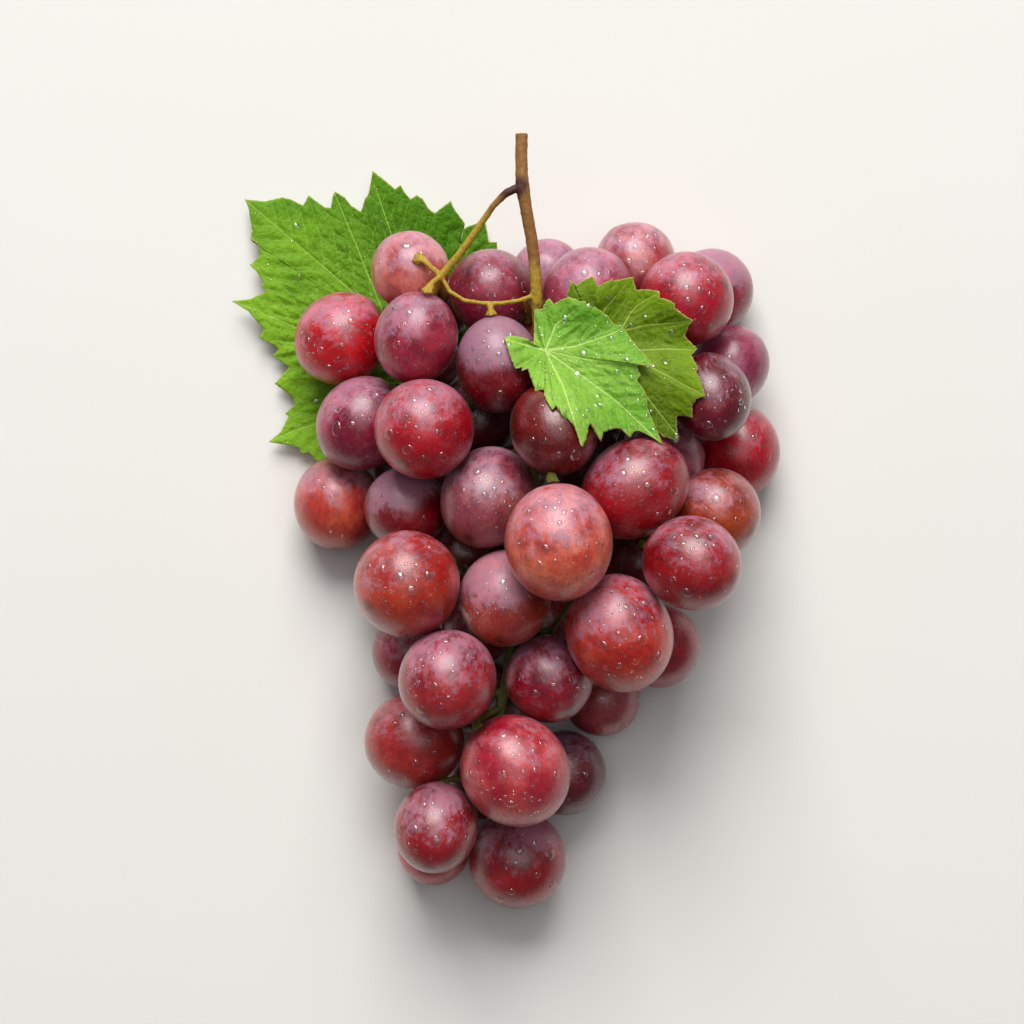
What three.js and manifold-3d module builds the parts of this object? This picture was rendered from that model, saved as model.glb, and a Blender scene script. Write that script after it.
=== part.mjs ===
// A bunch of table grapes lying on a table: its berries, its branched stem and three vine leaves.
// Millimetres. +Z is up from the table, +Y runs along the bunch to the cut end of the stem, +X to the right.
// Berries are placed by hand as they lie, then settled: neighbours are eased apart until none touch, and
// the small stems find their way between the berries. The leaves are draped last.

import * as THREE from "three";
import { mergeVertices } from "three/addons/utils/BufferGeometryUtils.js";
import Module from "manifold-3d";

const wasm = await Module();
wasm.setup();

// ---- Driving dimensions ----

const CLEARANCE = 0.35; // left between any two pieces
const BERRY_DETAIL = 2; // each edge of the icosahedron a berry is cut from is split this many times

const PEDICEL_RADIUS = 0.8; // the short stalk of one berry
const RECEPTACLE_RADIUS = 1.75; // the flared foot of that stalk, against the berry
const BRANCH_RADIUS = 1.0; // the side branches that carry a sprig of berries
const RACHIS_RADIUS = 1.35; // the main stem inside the bunch
const PEDUNCLE_RADIUS = 1.55; // the bare stem above the berries

const LEAF_THICKNESS = 0.8;
const LEAF_RINGS = 4; // rows of facets from the petiole to the edge
const DRAPE_CLEARANCE = 0.9; // a draped leaf is this far above the berries at its corners
const DRAPE_SAG = 0.2; // how far a corner of a draped leaf may hang below its neighbours
const DRAPE_ROUNDS = 80;

const BEAD_SPACING = 3; // the small stems are settled as strings of beads
const SETTLE_ROUNDS = 700;
const BRANCH_SHARE = 0.05; // share of a push between a small branch and a berry that moves the berry
const SIDEWAYS_GIVE = 0.3; // share of a push that may move a berry sideways; the rest lifts or lowers it
const PLACE_PULL = 0.06; // how firmly a berry keeps its place in plan
const HEIGHT_PULL = 0.004; // and its height

// ---- The main stem and the bare branches that show above the berries ----

const v = (x, y, z) => new THREE.Vector3(x, y, z);

const RACHIS = [
  v(3.5, 91, 40),
  v(3.4, 84, 40.5),
  v(3.8, 78, 41),
  v(4.8, 71.5, 40.5),
  v(6, 65, 39.5),
  v(6.7, 58.5, 38.5),
  v(7, 53, 37.5),
  v(7.4, 47, 34),
  v(8, 40, 29.5),
  v(8.2, 31, 26.5),
  v(7.5, 19, 25),
  v(6.2, 7, 24),
  v(4.6, -8, 23.5),
  v(2.2, -25, 23.5),
  v(-0.7, -42, 23),
  v(-4.6, -58, 21.5),
  v(-8.5, -69, 20.5),
];
const SHOULDER_BRANCH = [
  v(3.6, 78.4, 41),
  v(1.2, 77.4, 41.3),
  v(-1.2, 75.9, 41),
  v(-3.3, 73.6, 40.5),
  v(-5.7, 70.3, 39.5),
  v(-8.7, 66, 38),
  v(-11.8, 62, 36.5),
  v(-14.3, 59.2, 35.5),
  v(-15.7, 57.6, 35),
];
const CROSS_BRANCH = [
  v(-15.7, 57.6, 35),
  v(-14.2, 54.6, 35),
  v(-11.6, 52.3, 35.4),
  v(-7.6, 51.3, 36.2),
  v(-4, 51, 36.8),
  v(0.8, 51.2, 37.3),
  v(4.2, 52, 37.6),
  v(6.8, 53, 37.6),
];

// ---- The berries ----
// A sprig's berries hang from its path, a small branch that leaves the main stem at the path's first point;
// with no path, they hang from the bare branches named, or from the main stem itself. A berry is
// [x, y, z, length, width, bearing, rise]: its middle, its two diameters, and where its stem end points, as a
// bearing from +X and a rise above the table in degrees. Bearing and rise are left out where the berry simply
// points to its stalk.

const SPRIGS = {
  shoulder: {
    branches: [SHOULDER_BRANCH, CROSS_BRANCH],
    berries: [
      [-23.5, 60, 22, 19.5, 19, 35, 72],
      [-21.5, 43, 32, 22.5, 20, 76, 18],
      [-40.5, 44, 16, 24, 22.5, 30, 8],
      [-2, 36.5, 34.5, 23.5, 20, 98, 12],
      [8.5, 43, 15, 16.5, 16, 118, 45],
      [-16, 52, 10, 15, 15, 90, 60],
    ],
  },
  right_shoulder: {
    path: [v(7, 53, 37.5), v(7, 52, 28), v(9, 51, 20), v(14, 51, 15.5), v(22, 50.5, 15), v(32, 50.5, 16)],
    berries: [
      [19, 54, 28, 22, 21, 230],
      [31.5, 62.5, 16, 20, 20, 240],
      [43, 52.5, 31, 23, 22.5, 200],
      [50.5, 56, 10.5, 21, 20.5, 180],
      [10, 60, 10, 18, 18],
    ],
  },
  right_wing: {
    path: [v(8, 40, 29.5), v(42, 27, 18)],
    berries: [
      [48.5, 29, 33, 22.5, 19, 105],
      [54, 37.5, 14, 21, 19.5],
      [57, 16.5, 10.5, 23, 20.5, 95, 0],
      [39, 14, 18.5, 20, 18.5, 170],
      [35.5, 35.5, 11, 19, 19],
      [28, 33, 30, 20.5, 20],
    ],
  },
  left_wing: {
    path: [v(8.2, 31, 26.5), v(-2.5, 26.5, 24), v(-27, 25, 22)],
    berries: [
      [-19.5, 21, 40, 24, 23.5, 60],
      [-35, 23, 22.5, 24, 22, 45],
      [-42, 3.5, 11, 23, 21.5, 90],
      [-24.5, 2.5, 24, 20.5, 20, 60],
      [-7.5, 25, 11, 20.2, 20],
      [-27, 13, 8, 13, 12.8],
      [-18, 38.5, 17, 14, 13.6],
    ],
  },
  middle: {
    berries: [
      [-4, 55, 23, 21, 20.5, -45, -30],
      [11, 21, 43, 23, 20.5, 110],
      [-4.5, 5, 34, 26, 22.5, 65],
      [12, -5.5, 54, 27.5, 25, 95, -12],
      [3, 11.5, 15.5, 13.6, 13.4],
      [19.5, 16, 11, 20.2, 20],
      [-13.5, 8.5, 8, 14, 13.6],
      [10.5, -6.5, 11, 20.2, 20],
    ],
  },
  right_flank: {
    path: [v(6.2, 7, 24), v(37, -5, 21)],
    berries: [
      [30.5, 7, 38.5, 27, 23, 215, 5],
      [43, -10.5, 46, 24, 22, 160],
      [50, 1.5, 29, 21.5, 21.5, 150],
      [33, -11, 11, 20.2, 20],
    ],
  },
  left_flank: {
    path: [v(4.6, -8, 23.5), v(-19, -16, 22)],
    berries: [
      [-23.5, -15.5, 40, 25.5, 25, 30],
      [-0.5, -19, 36.5, 23.5, 22, 85],
      [-24, -33, 10, 19, 19],
      [-28.5, -15.5, 15.5, 17.4, 17],
      [-10.5, -9.5, 11, 20.2, 20],
    ],
  },
  right_hip: {
    path: [v(2.2, -25, 23.5), v(26, -35, 20)],
    berries: [
      [26.5, -27, 44, 28.5, 25, 112, 8],
      [37, -31.5, 14, 20.5, 20.5],
      [10, -38.5, 29.5, 21.5, 21, 120],
      [23.5, -44.5, 10, 19, 19],
      [9, -27.5, 9.5, 18.6, 18.4],
    ],
  },
  left_hip: {
    path: [v(-0.7, -42, 23), v(-16, -48, 23)],
    berries: [
      [-14, -38, 43, 24, 23, 60],
      [-22.5, -54, 22, 24.5, 23.5, 20],
      [-4.5, -45.5, 11, 20.2, 20],
      [-7.5, -27.5, 18.5, 17.2, 17],
    ],
  },
  tip: {
    berries: [
      [2, -60, 36.5, 27.5, 25.5, 130, 12],
      [14, -63, 11, 21, 21],
      [-17, -74, 32, 22.5, 20, 80],
      [-18, -82, 9.5, 18, 18],
      [2.5, -84, 13, 24, 24, 110],
      [-7.5, -66.5, 9.5, 16.8, 16.6],
    ],
  },
};
const AUTO_RISE_LIMIT = 35; // degrees, for a berry that has a bearing but no rise
const RECEPTACLE_HEIGHT = 1.6;

// ---- The leaves ----
// An outline is a list of corners in plan, counter-clockwise from one side of the notch to the other; the
// petiole joins the leaf at the bottom of the notch.

const LEAF_BACK = {
  petiole: [-18, 39],
  outline: [
    [-10, 44], [-3, 58], [-2.5, 68], [-5.5, 74], [-10, 72], [-14, 79], [-18, 76],
    [-22.5, 80.5], [-24.5, 79.5], [-27, 83], [-28.5, 82], [-33.5, 86.5], [-35.5, 79.5], [-36.5, 76.5], [-43, 81.5],
    [-44, 77.5], [-49.5, 80.5], [-51, 78], [-56, 80], [-65.5, 79.5], [-63.5, 71.5],
    [-61.5, 65.5], [-64, 63], [-60, 56.5], [-68.5, 54], [-60.5, 47], [-62, 45],
    [-57, 42], [-58.5, 40.5], [-54.5, 37.5], [-58, 33.5], [-53, 28.5], [-55.5, 26],
    [-59.5, 19], [-52, 17.5], [-47.5, 14], [-44.5, 15], [-36, 16], [-28, 22], [-23, 30],
  ],
};
const LEAF_FRONT = {
  petiole: [9, 39.5],
  outline: [
    [6.5, 41], [1, 43], [-0.5, 42.5], [0.5, 39], [2, 35], [5, 35], [6.5, 30.5], [8, 30],
    [9, 27.5], [10.5, 25], [11.5, 26], [14, 23], [17.5, 16.5], [19, 21.5], [22, 18],
    [22.5, 20], [27, 21], [29, 19], [30, 20.5], [36.5, 17.5], [34.5, 22.5], [33, 26],
    [32, 30.5], [30.5, 32.5], [30.5, 35.5], [35, 35.5], [32, 39], [28, 44], [25.5, 45.5],
    [24, 47.5], [18.5, 50], [14.5, 52], [12, 51], [10, 52], [8.5, 49.5], [6.5, 49.5],
    [6.5, 46.5],
  ],
};
const LEAF_RIGHT = {
  petiole: [21.5, 42.5],
  outline: [
    [25, 33], [31, 25], [37, 19], [40.5, 18], [40, 24], [43.5, 23.5], [43.5, 26.5],
    [46.5, 28.5], [45.5, 32.5], [44.5, 34.5], [43.5, 38.5], [45, 40], [42, 43],
    [44, 46.5], [39.5, 49.5], [39.5, 50.5], [36, 52], [36, 53.5], [30.5, 54], [30, 57],
    [25, 56], [21.5, 54.5], [20, 57], [16, 54.5], [14, 52.5], [16, 47],
  ],
};
const BACK_LEAF_LIFT = 4; // how far the edge of the leaf under the bunch rises from the table
const BACK_LEAF_WAVE = 1; // and how far its lobes go up and down
const BACK_LEAF_FLAT = 14; // the part of it, round its petiole, that lies flat under the berries

// ---- Solids ----

// A closed geometry as a solid, for joining and cutting.
function solidOf(geometry) {
  const plain = geometry.clone();
  plain.deleteAttribute("normal");
  plain.deleteAttribute("uv");
  const merged = mergeVertices(plain, 1e-4);
  return new wasm.Manifold(
    new wasm.Mesh({
      numProp: 3,
      vertProperties: new Float32Array(merged.attributes.position.array),
      triVerts: new Uint32Array(merged.index.array),
    }),
  );
}

// A solid as a geometry again.
function geometryOf(solid) {
  const mesh = solid.getMesh();
  const corners = new Float32Array(mesh.numVert * 3);
  for (let i = 0; i < mesh.numVert; i++) {
    corners.set(mesh.vertProperties.subarray(i * mesh.numProp, i * mesh.numProp + 3), i * 3);
  }
  return new THREE.BufferGeometry()
    .setAttribute("position", new THREE.BufferAttribute(corners, 3))
    .setIndex(new THREE.BufferAttribute(new Uint32Array(mesh.triVerts), 1));
}

// A closed round tube along a smooth line through the points; radiusAt gives its radius at 0 to 1 along it.
function tube(points, radiusAt, sides, stepLength) {
  const curve = new THREE.CatmullRomCurve3(points, false, "centripetal");
  const steps = Math.max(2, Math.round(curve.getLength() / stepLength));
  const frames = curve.computeFrenetFrames(steps, false);
  const geometry = new THREE.CylinderGeometry(1, 1, 1, sides, steps);
  const place = geometry.attributes.position;
  for (let i = 0; i < place.count; i++) {
    const along = place.getY(i) + 0.5;
    const step = Math.round(along * steps);
    const radius = radiusAt(along);
    const centre = curve.getPointAt(step / steps);
    centre.addScaledVector(frames.binormals[step], place.getX(i) * radius);
    centre.addScaledVector(frames.normals[step], place.getZ(i) * radius);
    place.setXYZ(i, centre.x, centre.y, centre.z);
  }
  return geometry;
}

// A berry with its long axis along its stem-end direction, grown by extra on every side.
function berryGeometry(berry, extra = 0) {
  const geometry = new THREE.IcosahedronGeometry(1, BERRY_DETAIL);
  geometry.scale(berry.halfWidth + extra, berry.halfLength + extra, berry.halfWidth + extra);
  geometry.applyQuaternion(new THREE.Quaternion().setFromUnitVectors(v(0, 1, 0), berry.stemEnd));
  return geometry;
}

// ---- Settling ----

// Half the thickness of a berry between two planes that face the given direction.
function halfThickness(berry, direction) {
  const along = berry.stemEnd.dot(direction) ** 2;
  return Math.sqrt(berry.halfLength ** 2 * along + berry.halfWidth ** 2 * (1 - along));
}

function newBerry([x, y, z, length, width, bearing, rise], name, sprig) {
  return {
    name, sprig, bearing, rise,
    floor: Math.hypot(x - LEAF_BACK.petiole[0], y - LEAF_BACK.petiole[1]) < BACK_LEAF_FLAT + 4 ? 2 : 0,
    home: v(x, y, z),
    centre: v(x, y, z),
    halfLength: length / 2,
    halfWidth: width / 2,
    stemEnd: v(0, 0, 1),
  };
}

// Points spaced evenly along a polyline.
function beadsAlong(points, spacing) {
  const curve = new THREE.CatmullRomCurve3(points, false, "centripetal");
  return curve.getSpacedPoints(Math.max(2, Math.round(curve.getLength() / spacing)));
}

function nearest(beads, point) {
  return beads.reduce((best, bead) => (bead.distanceTo(point) < best.distanceTo(point) ? bead : best));
}

// Turns a berry's stem end to the stalk that carries it, or to the bearing it was given.
function aim(berry, target) {
  const to = target.clone().sub(berry.centre).normalize();
  if (berry.bearing === undefined) {
    berry.stemEnd.copy(to);
    return;
  }
  const toward = THREE.MathUtils.radToDeg(Math.asin(to.z));
  const rise = berry.rise ?? THREE.MathUtils.clamp(toward, -AUTO_RISE_LIMIT, AUTO_RISE_LIMIT);
  const [b, r] = [berry.bearing, rise].map(THREE.MathUtils.degToRad);
  berry.stemEnd.set(Math.cos(b) * Math.cos(r), Math.sin(b) * Math.cos(r), Math.sin(r));
}

// Moves two touching berries apart, mostly up and down, so that each keeps its place in plan.
function partBerries(a, b) {
  const apart = b.centre.clone().sub(a.centre);
  const distance = apart.length();
  apart.divideScalar(distance);
  const overlap = halfThickness(a, apart) + halfThickness(b, apart) + CLEARANCE - distance;
  if (overlap <= 0) return;
  apart.multiply(v(SIDEWAYS_GIVE, SIDEWAYS_GIVE, 1)).multiplyScalar(overlap * 0.5);
  a.centre.sub(apart);
  b.centre.add(apart);
}

// Keeps a bead of a stem outside a berry. share is how much of the push the berry takes.
function partBead(bead, radius, berry, share) {
  const out = bead.clone().sub(berry.centre);
  const distance = out.length();
  if (distance > berry.halfLength + radius + CLEARANCE) return;
  out.divideScalar(distance);
  const along = berry.stemEnd.dot(out) ** 2;
  const surface = 1 / Math.sqrt(along / berry.halfLength ** 2 + (1 - along) / berry.halfWidth ** 2);
  const overlap = surface + radius + CLEARANCE - distance;
  if (overlap <= 0) return;
  bead.addScaledVector(out, overlap * (1 - share));
  berry.centre.addScaledVector(out, -overlap * share);
}

// Evens out a string of beads between its fixed ends.
function smooth(beads, amount) {
  for (let i = 1; i < beads.length - 1; i++) {
    const middle = beads[i - 1].clone().add(beads[i + 1]).multiplyScalar(0.5);
    beads[i].lerp(middle, amount);
  }
}

// The point where a berry's stalk meets it, and one a little further out.
const footOf = (berry, out) => berry.centre.clone().addScaledVector(berry.stemEnd, berry.halfLength + out);

function settle(berries, sprigs, rachis) {
  const fixed = [rachis, ...sprigs.flatMap((s) => s.fixed)];
  for (let round = 0; round < SETTLE_ROUNDS; round++) {
    if (round % 50 === 0) {
      berries.forEach((berry) => {
        aim(berry, nearest(berry.sprig.carriers.flat(), berry.centre));
      });
    }
    const holding = round < SETTLE_ROUNDS * 0.85 ? 1 : 0.2;
    for (const berry of berries) {
      const home = berry.home.clone().sub(berry.centre);
      berry.centre.add(home.multiply(v(PLACE_PULL, PLACE_PULL, HEIGHT_PULL)).multiplyScalar(holding));
    }
    berries.forEach((a, i) => berries.slice(i + 1).forEach((b) => partBerries(a, b)));
    for (const sprig of sprigs) {
      smooth(sprig.branch, 0.1);
      sprig.branch.forEach((bead, i) => {
        if (i > 0) berries.forEach((berry) => partBead(bead, BRANCH_RADIUS, berry, BRANCH_SHARE));
      });
    }
    for (const beads of fixed) {
      for (const bead of beads) {
        berries.forEach((berry) => partBead(bead, RACHIS_RADIUS, berry, 1));
      }
    }
    for (const berry of berries) {
      const floor = halfThickness(berry, v(0, 0, 1)) + berry.floor;
      berry.centre.z = Math.max(berry.centre.z, floor);
    }
  }
}

// The stalk of one berry, from the stem that carries it round the other berries to its foot.
function stalkOf(berry, berries) {
  const foot = footOf(berry, CLEARANCE);
  const out = footOf(berry, CLEARANCE + RECEPTACLE_HEIGHT);
  const start = nearest(berry.sprig.carriers.flat(), footOf(berry, 4));
  const beads = beadsAlong([start, out], BEAD_SPACING * 0.6);
  for (let round = 0; round < 120; round++) {
    smooth(beads, 0.25);
    beads.slice(1, -1).forEach((bead) => {
      berries.forEach((other) => partBead(bead, PEDICEL_RADIUS, other, 0));
    });
  }
  return [...beads, foot];
}

// ---- Leaves ----

// Height of the top (side 1) or underside (side -1) of one berry over a point in plan, if it is there.
function heightOn(berry, x, y, side) {
  const { halfLength, halfWidth, stemEnd: { x: ax, y: ay, z: az } } = berry;
  const [dx, dy] = [x - berry.centre.x, y - berry.centre.y];
  const across = 1 / halfWidth ** 2;
  const stretch = 1 / halfLength ** 2 - across;
  const a = across + stretch * az * az;
  const b = stretch * az * (ax * dx + ay * dy);
  const c = across * (dx * dx + dy * dy) + stretch * (ax * dx + ay * dy) ** 2 - 1;
  const root = b * b - a * c;
  return root > 0 ? berry.centre.z + (-b + side * Math.sqrt(root)) / a : undefined;
}

const topOf = (berries, x, y) => Math.max(0, ...berries.map((berry) => heightOn(berry, x, y, 1) ?? 0));
const undersideOf = (berries, x, y) =>
  Math.min(...berries.map((berry) => heightOn(berry, x, y, -1) ?? Infinity));

// The corners of a leaf from its petiole outwards: each ring of them shrinks the outline toward the petiole.
function leafCorners({ petiole, outline }) {
  const rings = Array.from({ length: LEAF_RINGS }, (_, r) => (r + 1) / LEAF_RINGS);
  return [petiole, ...rings.flatMap((share) =>
    outline.map((edge) => edge.map((at, axis) => petiole[axis] + (at - petiole[axis]) * share)),
  )];
}

// The index of each corner next to corner n of a leaf that has count corners in a ring.
function neighboursOf(n, count) {
  if (n === 0) return Array.from({ length: count }, (_, i) => i + 1);
  const ring = Math.floor((n - 1) / count);
  const i = (n - 1) % count;
  return [
    ring === 0 ? 0 : n - count,
    ...(ring === LEAF_RINGS - 1 ? [] : [n + count]),
    ...(i === 0 ? [] : [n - 1]),
    ...(i === count - 1 ? [] : [n + 1]),
  ];
}

// A closed leaf plate with its underside at the given height of each corner.
function leafGeometry(leaf, heights) {
  const count = leaf.outline.length;
  const plan = leafCorners(leaf);
  const under = plan.length;
  const at = (ring, i) => 1 + (ring - 1) * count + i;
  const faces = [];
  const quad = (a, b, c, d) => faces.push([a, b, c], [a, c, d]);
  for (let i = 0; i < count - 1; i++) {
    faces.push([0, at(1, i), at(1, i + 1)], [under, under + at(1, i + 1), under + at(1, i)]);
    for (let ring = 1; ring < LEAF_RINGS; ring++) {
      const corners = [at(ring, i), at(ring + 1, i), at(ring + 1, i + 1), at(ring, i + 1)];
      quad(...corners);
      quad(...corners.map((n) => under + n).reverse());
    }
  }
  const spoke = (i) => Array.from({ length: LEAF_RINGS }, (_, r) => at(r + 1, i));
  const edge = Array.from({ length: count }, (_, i) => at(LEAF_RINGS, i));
  const rim = [0, ...spoke(0).slice(0, -1), ...edge, ...spoke(count - 1).slice(0, -1).reverse()];
  rim.forEach((a, i) => {
    const b = rim[(i + 1) % rim.length];
    quad(a, under + a, under + b, b);
  });
  const positions = [LEAF_THICKNESS, 0].flatMap((lift) => plan.map(([x, y], n) => [x, y, heights[n] + lift]));
  return new THREE.BufferGeometry()
    .setAttribute("position", new THREE.Float32BufferAttribute(positions.flat(), 3))
    .setIndex(faces.flat());
}

// Heights of a leaf that has sunk onto what is under it, as a stiff sheet does: each corner stays above the
// surface that surfaceAt gives, and otherwise a little lower than its neighbours.
function draped(leaf, surfaceAt) {
  const under = leafCorners(leaf).map(([x, y]) => surfaceAt(x, y) + DRAPE_CLEARANCE);
  const heights = under.map(() => Math.max(...under));
  const count = leaf.outline.length;
  for (let round = 0; round < DRAPE_ROUNDS; round++) {
    under.forEach((floor, n) => {
      const around = neighboursOf(n, count);
      const mean = around.reduce((sum, k) => sum + heights[k], 0) / around.length;
      heights[n] = Math.max(floor, mean - DRAPE_SAG);
    });
  }
  return heights;
}

// Heights of the leaf that lies on the table: its edge curls up, but stays under the berries.
function spread(leaf, berries) {
  const [px, py] = leaf.petiole;
  return leafCorners(leaf).map(([x, y]) => {
    const away = Math.max(0, Math.hypot(x - px, y - py) - BACK_LEAF_FLAT);
    const wave = BACK_LEAF_WAVE * Math.sin(Math.atan2(y - py, x - px) * 5);
    const curl = Math.min(1, away / 30) * (BACK_LEAF_LIFT + wave);
    const roof = undersideOf(berries, x, y) - DRAPE_CLEARANCE - LEAF_THICKNESS;
    return Math.max(0, Math.min(curl, roof));
  });
}

// ---- Assembly ----

const rachisBeads = beadsAlong(RACHIS, BEAD_SPACING);
const hanging = rachisBeads.filter((bead) => bead.y < 56);
const sprigs = Object.entries(SPRIGS).map(([name, sprig]) => {
  const fixed = (sprig.branches ?? []).map((points) => beadsAlong(points, BEAD_SPACING));
  const branch = sprig.path ? beadsAlong(sprig.path, BEAD_SPACING) : [];
  const carriers = sprig.path || sprig.branches ? [...fixed, branch] : [hanging];
  return { name, fixed, branch, carriers };
});
const berries = Object.values(SPRIGS).flatMap((rows, s) =>
  rows.berries.map((row, i) => newBerry(row, `berry_${sprigs[s].name}_${i + 1}`, sprigs[s])),
);
settle(berries, sprigs, rachisBeads);

const skin = new THREE.MeshStandardMaterial({ color: 0x8c2433, roughness: 0.35 });
const bark = new THREE.MeshStandardMaterial({ color: 0x8a6a2c, roughness: 0.7 });
const blade = new THREE.MeshStandardMaterial({ color: 0x5f9a2a, roughness: 0.55 });

function named(name, geometry, material) {
  const mesh = new THREE.Mesh(geometry, material);
  mesh.name = name;
  return mesh;
}

const bunch = new THREE.Group();
for (const berry of berries) {
  const mesh = named(berry.name, berryGeometry(berry), skin);
  mesh.position.copy(berry.centre);
  bunch.add(mesh);
}

// The stem grew as one piece: its tubes are joined, and cleared from the berries that lie against it.
const stemTubes = [
  tube(RACHIS, (t) => THREE.MathUtils.lerp(PEDUNCLE_RADIUS, RACHIS_RADIUS, Math.min(1, t * 2)), 8, 5),
  tube(SHOULDER_BRANCH, (t) => THREE.MathUtils.lerp(0.75, 1.1, t), 6, 4),
  tube(CROSS_BRANCH, () => 0.6, 6, 4),
  ...sprigs.filter((s) => s.branch.length).map((s) => tube(s.branch, () => BRANCH_RADIUS, 6, 4)),
  ...berries.map((berry) => {
    const points = stalkOf(berry, berries);
    const flare = (t) => THREE.MathUtils.lerp(PEDICEL_RADIUS, RECEPTACLE_RADIUS, Math.max(0, t * 4 - 3));
    return tube(points, flare, 5, 3);
  }),
];
const joined = stemTubes.map(solidOf).reduce((whole, piece) => whole.add(piece));
const cleared = berries.reduce((stem, berry) => {
  const around = berryGeometry(berry, CLEARANCE).translate(...berry.centre.toArray());
  return stem.subtract(solidOf(around));
}, joined);
const [stem] = cleared.decompose().sort((a, b) => b.volume() - a.volume());
bunch.add(named("stem", geometryOf(stem), bark));

const leaf = (name, shape, heights) => named(name, leafGeometry(shape, heights), blade);
const rightLeaf = leaf("leaf_right", LEAF_RIGHT, draped(LEAF_RIGHT, (x, y) => topOf(berries, x, y)));
const onRightLeaf = (x, y) => {
  const down = new THREE.Raycaster(v(x, y, 200), v(0, 0, -1));
  return down.intersectObject(rightLeaf)[0]?.point.z ?? 0;
};
const reach = [[0, 0], [2.5, 0], [-2.5, 0], [0, 2.5], [0, -2.5]];
const onPile = (x, y) => Math.max(topOf(berries, x, y), ...reach.map(([i, j]) => onRightLeaf(x + i, y + j)));
bunch.add(leaf("leaf_back", LEAF_BACK, spread(LEAF_BACK, berries)));
bunch.add(rightLeaf);
bunch.add(leaf("leaf_front", LEAF_FRONT, draped(LEAF_FRONT, onPile)));

// The frame's origin is on the table, under the middle of the bunch.
const box = new THREE.Box3().setFromObject(bunch);
const middle = box.getCenter(new THREE.Vector3());
bunch.position.set(-middle.x, -middle.y, -box.min.z);

export default bunch;
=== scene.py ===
"""The look of a bunch of red table grapes with vine leaves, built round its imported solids.

Each berry, the stem and each leaf replaces the solid of the same place; water drops lie on top. All sizes are
in metres unless a name says millimetres, and a finished piece's place is in its mesh.
"""

import logging
import math
import random
from collections.abc import Iterable, Sequence
from dataclasses import dataclass, field
from enum import Enum

import bmesh
import bpy
import numpy as np
from mathutils import Matrix, Vector, noise
from mathutils.bvhtree import BVHTree
from mathutils.kdtree import KDTree


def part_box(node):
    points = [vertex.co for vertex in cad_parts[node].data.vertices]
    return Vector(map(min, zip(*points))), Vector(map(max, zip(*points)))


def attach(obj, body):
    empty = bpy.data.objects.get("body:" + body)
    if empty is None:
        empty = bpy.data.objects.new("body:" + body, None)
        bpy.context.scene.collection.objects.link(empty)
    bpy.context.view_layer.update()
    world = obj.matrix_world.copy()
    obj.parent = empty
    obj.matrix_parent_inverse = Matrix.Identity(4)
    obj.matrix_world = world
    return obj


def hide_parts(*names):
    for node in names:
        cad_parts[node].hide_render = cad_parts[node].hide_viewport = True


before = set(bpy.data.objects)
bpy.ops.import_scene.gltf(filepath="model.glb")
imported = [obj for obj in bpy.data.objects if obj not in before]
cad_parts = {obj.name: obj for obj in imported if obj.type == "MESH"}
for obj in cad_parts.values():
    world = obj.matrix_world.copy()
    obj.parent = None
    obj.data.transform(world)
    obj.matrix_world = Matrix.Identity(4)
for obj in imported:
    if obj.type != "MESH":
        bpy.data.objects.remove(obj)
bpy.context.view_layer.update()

MM = 0.001
BODY = "root"
BERRY = "berry_"
SEED = 7
FOOT_SEARCH = 0.9 * MM
FOOT_REACH = 0.55 * MM
NEARLY_ROUND = 1.03

Colour = tuple[float, float, float]
Point = tuple[float, float]
log = logging.getLogger("grapes")


def rgb(code: str) -> Colour:
    """Turns a six-digit display colour into linear light.

    Args:
        code: The colour as rrggbb.

    Returns:
        Red, green and blue from 0 to 1.
    """
    parts = [int(code[i : i + 2], 16) / 255 for i in (0, 2, 4)]
    return tuple(p / 12.92 if p <= 0.04045 else ((p + 0.055) / 1.055) ** 2.4 for p in parts)


def select_only(thing: bpy.types.Object | None = None) -> None:
    """Deselects everything and, where a thing is given, selects it and makes it active.

    Args:
        thing: The object to select, if any.
    """
    if bpy.context.object and bpy.context.object.mode != "OBJECT":
        bpy.ops.object.mode_set(mode="OBJECT")
    bpy.ops.object.select_all(action="DESELECT")
    if thing is not None:
        thing.select_set(True)
        bpy.context.view_layer.objects.active = thing


def coordinates(mesh: bpy.types.Mesh) -> np.ndarray:
    """Reads where the vertices of a mesh are.

    Args:
        mesh: The mesh.

    Returns:
        One row of x, y and z for each vertex.
    """
    flat = np.empty(len(mesh.vertices) * 3, np.float64)
    mesh.vertices.foreach_get("co", flat)
    return flat.reshape(-1, 3)


def set_coordinates(mesh: bpy.types.Mesh, places: np.ndarray) -> None:
    """Moves every vertex of the mesh to its row of places."""
    mesh.vertices.foreach_set("co", places.astype(np.float32).ravel())
    mesh.update()


def directions(mesh: bpy.types.Mesh) -> np.ndarray:
    """Reads which way the vertices of a mesh face.

    Args:
        mesh: The mesh.

    Returns:
        One row of x, y and z, of length 1, for each vertex.
    """
    flat = np.empty(len(mesh.vertices) * 3, np.float64)
    mesh.vertices.foreach_get("normal", flat)
    return flat.reshape(-1, 3)


def store(mesh: bpy.types.Mesh, name: str, values: np.ndarray) -> None:
    """Keeps one value, or three, for each vertex under a name that a finish can read.

    Args:
        mesh: The mesh that gets the attribute.
        name: The attribute's name.
        values: One number for each vertex, or one row of three.
    """
    kind, key = ("FLOAT_VECTOR", "vector") if values.ndim == 2 else ("FLOAT", "value")
    made = mesh.attributes.new(name, kind, "POINT")
    made.data.foreach_set(key, values.astype(np.float32).ravel())


def rise(values: np.ndarray, low: float, high: float) -> np.ndarray:
    """Returns 0 below low, 1 above high and an even S-shaped rise between."""
    share = np.clip((values - low) / (high - low), 0, 1)
    return share * share * (3 - 2 * share)


# ---- Shader language ----


class Blend(Enum):
    """How a colour meets the one underneath."""

    OVER = "MIX"
    DARKEN = "MULTIPLY"


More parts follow.
